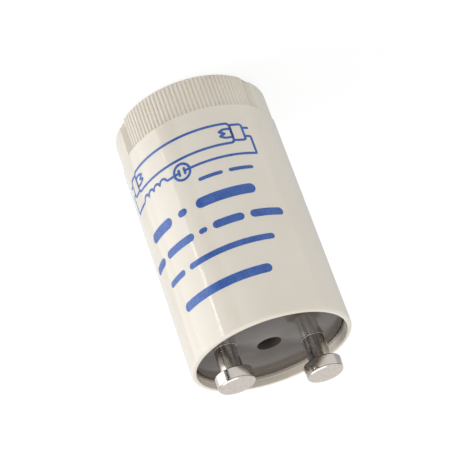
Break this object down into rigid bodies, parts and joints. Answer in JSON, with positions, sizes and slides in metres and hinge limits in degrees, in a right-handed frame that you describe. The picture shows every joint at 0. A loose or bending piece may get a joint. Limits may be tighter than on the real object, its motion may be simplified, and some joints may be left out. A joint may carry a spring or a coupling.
{
  "type": "fluorescent starter",
  "caption": "Round plug-in starter for a fluorescent lamp: smooth canister with a ribbed grip, closed by a recessed disc that carries headed contact pins.",
  "frame": {"origin": "centre of the flat closed end of the canister, on the surface that it stands on", "axes": "+Z runs along the canister, towards the contact pins; +X runs along the line through the pins"},
  "size_m": [0.0216, 0.0216, 0.0407],
  "materials": {
    "canister_plastic": "glossy moulded plastic, cream white",
    "disc_board": "smooth laminated board, dark grey",
    "pin_metal": "nickel-plated brass, turned and polished",
    "solder": "tin solder",
    "bulb_glass": "clear glass",
    "electrode_metal": "rolled strip",
    "lead_wire": "tinned wire",
    "capacitor_coating": "dipped resin coating"
  },
  "bodies": {
    "root": {"canister": "canister_plastic", "base_disc": "disc_board", "contact_pin_left": "pin_metal", "contact_pin_right": "pin_metal", "solder_joint_left": "solder", "solder_joint_right": "solder", "bulb_envelope": "bulb_glass", "bimetal_strip": "electrode_metal", "counter_electrode": "electrode_metal", "bulb_lead_left": "lead_wire", "bulb_lead_right": "lead_wire", "capacitor_body": "capacitor_coating", "capacitor_lead_left": "lead_wire", "capacitor_lead_right": "lead_wire"}
  },
  "joints": []
}
